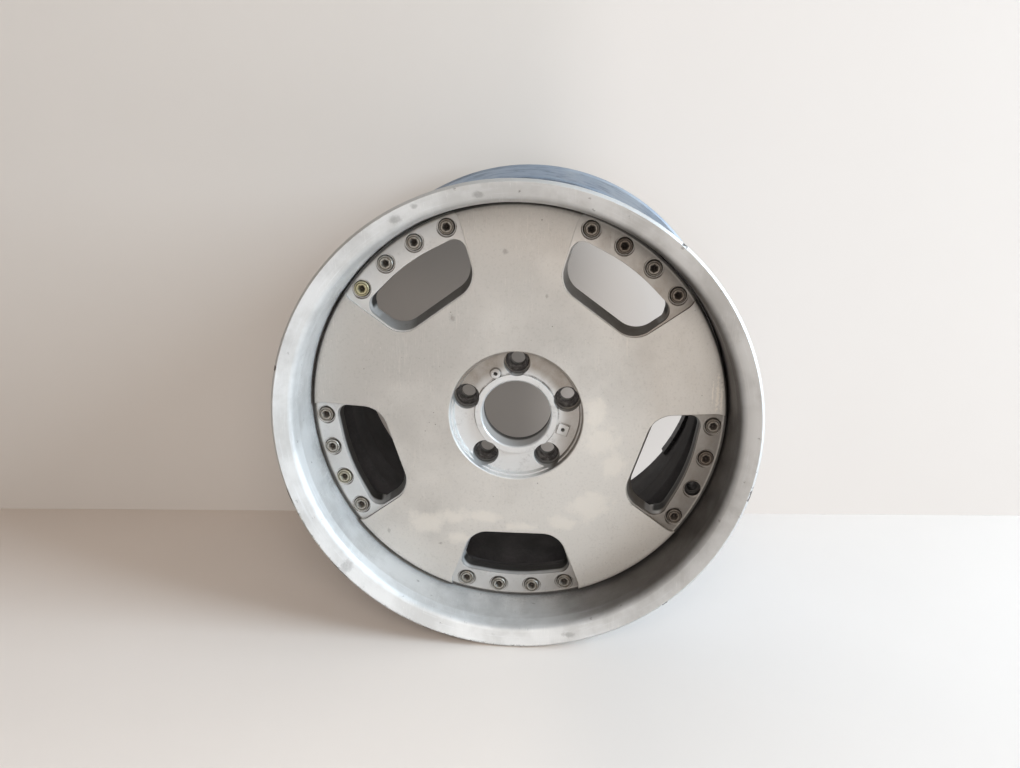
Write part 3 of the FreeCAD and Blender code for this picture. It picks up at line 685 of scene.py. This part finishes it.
        # painted shade: the well's step wall that faces left is darkened
        worn = b.mix(b.radius.rise(*self.step_r) * zones.left_facing * 0.8, worn, self.dirt)
        # stain and painted shade: the outer ring of the well floor is darker towards the top and
        # right
        upper_right = b.z.rise(-5.0, 35.0).most(b.x.rise(28.0, 60.0) * 0.7)
        stain = b.radius.rise(*self.stain_r) * upper_right
        worn = b.mix(stain * (0.5 + warp * 0.7).least(1.0), worn, self.shade)
        worn = b.mix(self.boss_edge(b) * warp.rise(0.3, 0.6) * 0.8, worn, self.dirt)
        collar = b.radius.between(*self.collar_r, 0.5) * b.depth.rise(*self.collar_depth)
        return b.mix(collar * warp.rise(0.35, 0.6) * 0.8, worn, self.dirt)

    def make(self) -> bpy.types.Material:
        """Lays the centre's finishes over each other.

        Returns:
            The centre's material.
        """
        b = Board(self.name)
        grain = Grain(b.noise(0.011, 4.0, 0.55), b.noise(0.4, 4.0, 0.6), b.noise(0.055, 7.0, 0.72))
        clouds, fine, warp = grain.clouds, grain.fine, grain.warp
        zones = self.zones(b)
        well, below, back = zones.well, zones.below, zones.back
        rolled = b.radius.between(*self.rolled_r, 2.0) * zones.sunk.rise(6.0, 9.0)

        colour, cream, specks, scratches = self.face(b, grain, zones)
        colour = self.windows(b, grain, zones, colour, rolled)
        colour = b.mix(well, colour, self.hub_well(b, grain, zones))
        grime = b.mix((warp * 0.6 + clouds * 0.4).rise(0.25, 0.75), self.soot, self.dirt)
        colour = b.mix(back * (0.97 - fine * 0.12), colour, grime)
        metallic = 0.28 + well * 0.34 + below * 0.30 - cream * 0.2 - back * 0.2
        rough = 0.42 + fine * 0.1 + clouds * 0.08 + cream * 0.10 - below * 0.04 + back * 0.2
        height = fine * 0.10 + clouds * 0.05 - specks * 0.3 + cream * 0.05 - scratches * 0.1
        return b.surface(colour, metallic, rough, height, 0.0006, 0.0007, rolled)


class Plating(Enum):
    """Look of a steel part."""

    ZINC = "zinc"
    DARK = "dark"
    COATED = "coated"
    NICKEL = "nickel"


@dataclass(frozen=True)
class SteelFinish:
    """Plated steel with rust and grime, in one of a few looks."""

    name: str
    plating: Plating
    per_piece: bool = False
    yellow: Colour = (0.50, 0.45, 0.27)
    rust: Colour = (0.15, 0.115, 0.09)

    def tones(self) -> Tuple[Colour, Colour, Colour]:
        """Clean, worn and dirty colours of this plating; the dirty one also serves as painted
        shade.
        """
        return {
            Plating.ZINC: ((0.44, 0.42, 0.38), (0.30, 0.26, 0.21), (0.06, 0.05, 0.045)),
            Plating.DARK: ((0.075, 0.07, 0.068), (0.19, 0.18, 0.175), (0.015, 0.013, 0.012)),
            Plating.COATED: ((0.05, 0.05, 0.052), (0.085, 0.085, 0.085), (0.015, 0.015, 0.015)),
            Plating.NICKEL: ((0.62, 0.59, 0.53), (0.48, 0.44, 0.37), (0.10, 0.09, 0.08)),
        }[self.plating]

    def make(self) -> bpy.types.Material:
        """Lays wear, grime, the pieces' own tints and painted shade in their sockets and grooves
        over the plating.

        Returns:
            The steel's material.
        """
        b = Board(self.name)
        clean, worn, dirty = self.tones()
        patches = b.noise(0.22, 5.0, 0.65)
        fine = b.noise(1.4, 4.0, 0.6)
        colour = b.mix(patches.rise(0.42, 0.66), clean, worn)
        colour = b.mix(fine.rise(0.55, 0.75) * 0.5, colour, dirty)
        if self.per_piece:
            tint = b.node("ShaderNodeAttribute", {"attribute_name": "piece_tint"}, {}, "Fac")
            recess_darkening = b.node("ShaderNodeAttribute", {"attribute_name": "recess_dirt_and_shade"}, {}, "Fac")
            colour = b.mix(tint.rise(0.6, 1.0), colour, self.yellow)
            colour = b.mix(tint.fall(0.0, 0.4), colour, self.rust)
            # dirt and painted shade in the socket and the groove
            colour = b.mix(recess_darkening, colour, dirty)
        rough = 0.36 + patches * 0.22 + fine * 0.08
        metallic = 0.85 - patches.rise(0.5, 0.7) * 0.3
        height = fine * 0.3 + patches * 0.3
        return b.surface(colour, metallic, rough, height, 0.00025, 0.0004)


@dataclass(frozen=True)
class PolymerFinish:
    """Matt rubber, plastic or foam with dust in its grain."""

    name: str
    body: Colour
    dust: Colour
    grain: float

    def make(self) -> bpy.types.Material:
        """Lays a film of dust over the body.

        Returns:
            The polymer's material.
        """
        b = Board(self.name)
        grain = b.noise(self.grain, 4.0, 0.6)
        film = b.noise(0.12, 4.0, 0.6)
        colour = b.mix(film.rise(0.5, 0.75) * 0.6, self.body, self.dust)
        return b.surface(colour, 0.0, 0.62 + film * 0.2, grain, 0.0002, 0.0003)


def put(name: str, shape: bmesh.types.BMesh, finish: bpy.types.Material) -> bpy.types.Object:
    """Turns a bmesh into an object of the scene.

    Args:
        name: Name of the object.
        shape: Finished mesh, which is freed.
        finish: Material of the whole object.

    Returns:
        The object.
    """
    mesh = bpy.data.meshes.new(name)
    shape.to_mesh(mesh)
    shape.free()
    mesh.materials.append(finish)
    made = bpy.data.objects.new(name, mesh)
    bpy.context.scene.collection.objects.link(made)
    return made


@dataclass
class RimBolts:
    """Socket-head bolts of the bolt flanges, each turned and tinted a little differently."""

    circle: float = 207.5
    step: float = 10.3
    head_top: float = 63.4
    head_r: float = 8.0
    head_high: float = 9.8
    bevel: float = 0.8
    shank_r: float = 5.0
    shank_long: float = 22.5
    socket_reach: float = 4.62
    socket_floor: float = 2.1
    socket_deep: float = 4.4
    socket_tip: float = 1.6
    land: float = 1.0   # flat ring between the socket's corners and the groove
    groove: Tuple[float, float, float] = (0.25, 0.85, 1.15)   # floor's edges and rim past the land
    groove_deep: float = 0.9
    # how dark the socket and the groove are painted: dirt with painted shade
    socket_dirt_and_shade: float = 0.9
    groove_dirt_and_shade: float = 0.6
    spin: float = 23.0   # degrees by which each bolt is turned further than the one before
    windows: Tuple[float, ...] = (270.0, 342.0, 54.0, 126.0, 198.0)
    per_window: int = 4
    missing: float = 336.85
    segments: int = 36
    tints: Tuple[float, ...] = (   # below 0.4 rusty, above 0.6 yellow, by bolt as the windows go
        0.45, 0.5, 0.4, 0.3, 0.15, 0.1, 0.2, 0.15, 0.2, 0.1,
        0.2, 0.25, 0.3, 0.45, 0.9, 0.3, 0.45, 0.75, 0.4)

    def profile_ring(self, shape: bmesh.types.BMesh, edges: List[bmesh.types.BMEdge], radius: float,
                     was: float, move: float) -> List[bmesh.types.BMEdge]:
        """Extrudes an edge loop to a new radius and further along the axle.

        Args:
            shape: Mesh being built.
            edges: Loop to extrude.
            radius: New radius.
            was: Present radius.
            move: Distance along the axle.

        Returns:
            Edges of the new loop.
        """
        made = bmesh.ops.extrude_edge_only(shape, edges=edges)["geom"]
        verts = [item for item in made if isinstance(item, bmesh.types.BMVert)]
        bmesh.ops.scale(shape, verts=verts, vec=(radius / was, 1.0, radius / was))
        bmesh.ops.translate(shape, verts=verts, vec=(0.0, move, 0.0))
        return [item for item in made if isinstance(item, bmesh.types.BMEdge)
                and all(v in verts for v in item.verts)]

    def one(self) -> bmesh.types.BMesh:
        """Builds a bolt from its socket outwards and down to the shank's end.

        Returns:
            The bolt along Y with the top of its head at the origin, in millimetres.
        """
        shape = bmesh.new()
        lie = Matrix.Rotation(math.radians(90.0), 4, "X")
        hexagon = bmesh.ops.create_circle(shape, segments=6, radius=self.socket_reach, matrix=lie)
        mouth = list({edge for v in hexagon["verts"] for edge in v.link_edges})
        land_r = self.socket_reach + self.land
        ring = bmesh.ops.create_circle(shape, segments=self.segments, radius=land_r, matrix=lie)
        loop = list({edge for v in ring["verts"] for edge in v.link_edges})
        bmesh.ops.bridge_loops(shape, edges=mouth + loop)
        sunk = self.profile_ring(shape, mouth, self.socket_floor, self.socket_reach,
                                 self.socket_deep)
        floor = bmesh.ops.contextual_create(shape, geom=sunk)["faces"]
        tip = bmesh.ops.poke(shape, faces=floor)["verts"]
        bmesh.ops.translate(shape, verts=tip, vec=(0.0, self.socket_tip, 0.0))
        first, second, rim = (land_r + past for past in self.groove)
        steps = ((first, self.groove_deep), (second, 0.0), (rim, -self.groove_deep),
                 (self.head_r - self.bevel, 0.0), (self.head_r, self.bevel),
                 (self.head_r, self.head_high - self.bevel), (self.shank_r, 0.0),
                 (self.shank_r, self.shank_long))
        radius = land_r
        for wide, move in steps:
            loop = self.profile_ring(shape, loop, wide, radius, move)
            radius = wide
        bmesh.ops.contextual_create(shape, geom=loop)
        bmesh.ops.recalc_face_normals(shape, faces=shape.faces)
        return shape

    def angles(self) -> List[float]:
        """Angles of the bolts that are there, window by window."""
        middle = (self.per_window - 1) / 2.0
        every = [window + self.step * (k - middle)
                 for window in self.windows for k in range(self.per_window)]
        return [a for a in every if abs((a - self.missing + 180.0) % 360.0 - 180.0) > 1.0]

    def build(self) -> bpy.types.Object:
        """Sets a bolt at each angle.

        Returns:
            All the bolts as one piece in place of the plain ones.
        """
        whole = bmesh.new()
        tint = whole.verts.layers.float.new("piece_tint")
        recess_darkening = whole.verts.layers.float.new("recess_dirt_and_shade")
        for number, angle in enumerate(self.angles()):
            bolt = self.one()
            stock = bpy.data.meshes.new("bolt_stock")
            bolt.to_mesh(stock)
            bolt.free()
            before = set(whole.verts)
            whole.from_mesh(stock)
            bpy.data.meshes.remove(stock)
            new = [v for v in whole.verts if v not in before]
            # vertices in the socket and the groove carry dirt and painted shade for the finish
            for vert in new:
                vert[tint] = self.tints[number]
                in_socket = math.hypot(vert.co.x, vert.co.z) < self.socket_floor + 0.1
                in_groove = abs(vert.co.y - self.groove_deep) < 0.05
                vert[recess_darkening] = (self.socket_dirt_and_shade if in_socket
                              else self.groove_dirt_and_shade if in_groove else 0.0)
            turn = Matrix.Rotation(math.radians(self.spin * number), 4, "Y")
            spot = Vector((self.circle * math.cos(math.radians(angle)), self.head_top - HALF_WIDTH,
                           self.circle * math.sin(math.radians(angle))))
            scale = Matrix.Scale(1.0 / PER_METRE, 4)
            bmesh.ops.transform(whole, verts=new, matrix=scale @ Matrix.Translation(spot) @ turn)
        piece = put("rim_bolt_set", whole, SteelFinish("bolt_zinc", Plating.ZINC, True).make())
        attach(piece, "root")
        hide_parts("rim_bolts")
        return piece


@dataclass
class SeatRings:
    """Wheel-bolt seats with the turned steps inside their cones."""

    circle: float = 56.0
    mouth: float = 70.5
    count: int = 5
    first: float = 90.0
    steps: int = 48
    profile: Tuple[Tuple[float, float], ...] = (   # radius, depth below the mouth
        (12.4, 11.5), (12.4, 0.9), (11.6, 0.0), (11.0, 0.0), (10.6, 1.6), (9.9, 1.7), (9.7, 3.7),
        (9.0, 3.8), (8.8, 6.0), (8.1, 6.1), (7.5, 8.1), (7.5, 11.5), (12.4, 11.5))

    def build(self) -> bpy.types.Object:
        """Spins the profile round each wheel-bolt axis.

        Returns:
            All the seats as one piece in place of the plain ones.
        """
        shape = bmesh.new()
        for number in range(self.count):
            angle = math.radians(self.first + 360.0 / self.count * number)
            middle = Vector((math.cos(angle), 0.0, math.sin(angle))) * self.circle / PER_METRE
            line = [shape.verts.new(middle + Vector((
                radius, self.mouth + down - HALF_WIDTH, 0.0)) / PER_METRE)
                for radius, down in self.profile]
            edges = [shape.edges.new(pair) for pair in zip(line, line[1:])]
            bmesh.ops.spin(shape, geom=line + edges, cent=middle, axis=(0.0, 1.0, 0.0),
                           angle=math.tau, steps=self.steps, use_merge=True)
        bmesh.ops.remove_doubles(shape, verts=shape.verts, dist=1e-6)
        bmesh.ops.recalc_face_normals(shape, faces=shape.faces)
        piece = put("seat_ring_set", shape, SteelFinish("seat_dark", Plating.DARK).make())
        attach(piece, "root")
        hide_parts("lug_seats")
        return piece


@dataclass
class PlainNodes:
    """Solids that keep their shape and get a finish."""

    finishes: Dict[str, bpy.types.Material] = field(default_factory=dict)

    def choose(self) -> None:
        """Makes one material for each solid."""
        nickel = SteelFinish("valve_nickel", Plating.NICKEL).make()
        self.finishes = {
            "rim": TurnedRimFinish().make(),
            "centre_disc": CastCentreFinish().make(),
            "thread_inserts": SteelFinish("insert_steel", Plating.DARK).make(),
            "valve_stem": nickel,
            "valve_nut": nickel,
            "valve_seal": PolymerFinish(
                "seal_rubber", (0.022, 0.022, 0.022), (0.08, 0.075, 0.07), 1.2).make(),
            "valve_cap": PolymerFinish(
                "cap_plastic", (0.03, 0.03, 0.032), (0.10, 0.095, 0.09), 0.9).make(),
            "balance_weights": SteelFinish("weight_coating", Plating.COATED).make(),
            "weight_tape": PolymerFinish(
                "tape_foam", (0.04, 0.04, 0.04), (0.09, 0.09, 0.085), 2.0).make(),
        }

    def dress(self) -> None:
        """Puts each material on its solid."""
        for name, finish in self.finishes.items():
            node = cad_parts[name]
            node.data.materials.clear()
            node.data.materials.append(finish)
            LOG.info("dressed %s", name)


@dataclass(frozen=True)
class Lamp:
    """Soft square lamp that looks at the wheel."""

    name: str
    place: Tuple[float, float, float]
    size: float
    watts: float
    colour: Colour

    def build(self) -> None:
        """Puts the lamp in the scene."""
        light = bpy.data.lights.new(self.name, "AREA")
        light.size, light.energy, light.color = self.size, self.watts, self.colour
        lamp = bpy.data.objects.new(self.name, light)
        lamp.location = self.place
        lamp.rotation_mode = "QUATERNION"
        lamp.rotation_quaternion = (-Vector(self.place)).to_track_quat("-Z", "Y")
        bpy.context.scene.collection.objects.link(lamp)


@dataclass
class Studio:
    """Pale floor and wall, soft window light from the right, and the camera of the photo."""

    floor_z: float = -0.2465
    wall_y: float = 0.186
    wall_turn: float = 4.18
    sheet_half: float = 4.0
    wall_lift: float = 3.999   # half a sheet, less a lap below the floor
    floor_colour: Colour = (0.84, 0.75, 0.68)
    floor_bright: Colour = (0.74, 0.675, 0.625)
    wall_colour: Colour = (0.54, 0.495, 0.455)
    wall_bright: Colour = (0.30, 0.285, 0.275)
    wall_glow: Tuple[float, float] = (0.11, 0.47)   # painted light: how bright the wall itself glows, left of the wheel and right of it
    turns: Span = (-20.0, 140.0)   # where the sheets change to the right, in millimetres
    lamps: Tuple[Lamp, ...] = (
        Lamp("window", (2.8, -0.75, 1.1), 1.7, 162.0, (0.70, 0.86, 1.0)),
        Lamp("room", (0.2, -2.3, 1.15), 1.5, 33.0, (1.0, 0.94, 0.885)),
        Lamp("behind", (-1.3, 2.3, 1.5), 2.0, 34.0, (1.0, 0.98, 0.95)))
    world_colour: Colour = (0.86, 0.80, 0.74)
    world_strength: float = 0.125
    eye: Tuple[float, float, float] = (0.0555, -0.9515, 0.2924)
    right: Tuple[float, float, float] = (0.9972, 0.0749, 0.0070)
    up: Tuple[float, float, float] = (-0.0283, 0.2880, 0.9572)
    ahead: Tuple[float, float, float] = (-0.0697, 0.9547, -0.2893)
    focal_pixels: float = 855.84
    image_wide: float = 1020.0

    def sheet(self, name: str, colours: Tuple[Colour, Colour], glows: Tuple[float, float],
              place: Matrix) -> None:
        """Lays a large plain sheet that can be seen through from behind.

        Args:
            name: Name of the sheet.
            colours: Its colours to the left and to the right of the wheel.
            glows: How bright the sheet itself is on either side.
            place: Where the sheet lies; it faces along its own Z.
        """
        board = Board(name)
        rightwards = board.x.rise(*self.turns)
        tone = board.mix(rightwards, *colours)
        tone = board.mix(board.noise(0.004, 3.0, 0.5) * 0.06, tone, (0.0, 0.0, 0.0))
        left = colours[0]
        shine = [tuple(part / left[0] * glow for part in left) for glow in glows]
        paint = board.node("ShaderNodeBsdfPrincipled", {}, {
            "Base Color": tone, "Roughness": 0.9, "Specular IOR Level": 0.1,
            "Emission Color": board.mix(rightwards, *shine), "Emission Strength": 1.0})
        clear = board.node("ShaderNodeBsdfTransparent", {}, {})
        behind = board.node("ShaderNodeNewGeometry", {}, {}, "Backfacing")
        board.node_end(board.node("ShaderNodeMixShader", {}, {0: behind, 1: paint, 2: clear}))
        shape = bmesh.new()
        bmesh.ops.create_grid(shape, x_segments=1, y_segments=1, size=self.sheet_half,
                              matrix=place)
        sheet = put(name, shape, board.material)

    def set_world(self) -> None:
        """Fills the room with a little even light."""
        world = bpy.data.worlds.new("room")
        bpy.context.scene.world = world
        world.use_nodes = True
        backdrop = world.node_tree.nodes["Background"]
        backdrop.inputs["Color"].default_value = (*self.world_colour, 1.0)
        backdrop.inputs["Strength"].default_value = self.world_strength

    def set_camera(self) -> None:
        """Looks at the wheel as the photo does."""
        camera = bpy.data.cameras.new("photo_camera")
        camera.sensor_fit = "HORIZONTAL"
        camera.sensor_width = SENSOR
        camera.lens = self.focal_pixels / self.image_wide * SENSOR
        eye = bpy.data.objects.new("photo_camera", camera)
        axes = Matrix((self.right, self.up, [-a for a in self.ahead])).transposed()
        eye.matrix_world = Matrix.Translation(Vector(self.eye)) @ axes.to_4x4()
        bpy.context.scene.collection.objects.link(eye)
        bpy.context.scene.camera = eye

    def build(self) -> None:
        """Makes the stage, the lamps, the world and the camera."""
        self.sheet("floor", (self.floor_colour, self.floor_bright), (0.0, 0.0),
                   Matrix.Translation((0.0, 0.0, self.floor_z)))
        turn = Matrix.Rotation(math.radians(self.wall_turn), 4, "Z")
        stand = Matrix.Rotation(math.radians(90.0), 4, "X")
        corner = Matrix.Translation((0.0, self.wall_y, self.wall_lift + self.floor_z))
        self.sheet("wall", (self.wall_colour, self.wall_bright), self.wall_glow,
                   corner @ turn @ stand)
        for lamp in self.lamps:
            lamp.build()
        self.set_world()
        bpy.context.scene.view_settings.view_transform = "Standard"
        self.set_camera()


def main() -> None:
    """Builds the stage and every piece in order."""
    logging.basicConfig(level=logging.INFO)
    Studio().build()
    nodes = PlainNodes()
    nodes.choose()
    nodes.dress()
    for piece in (RimBolts().build(), SeatRings().build()):
        LOG.info("built %s with %d faces", piece.name, len(piece.data.polygons))


if __name__ == "__main__":
    main()
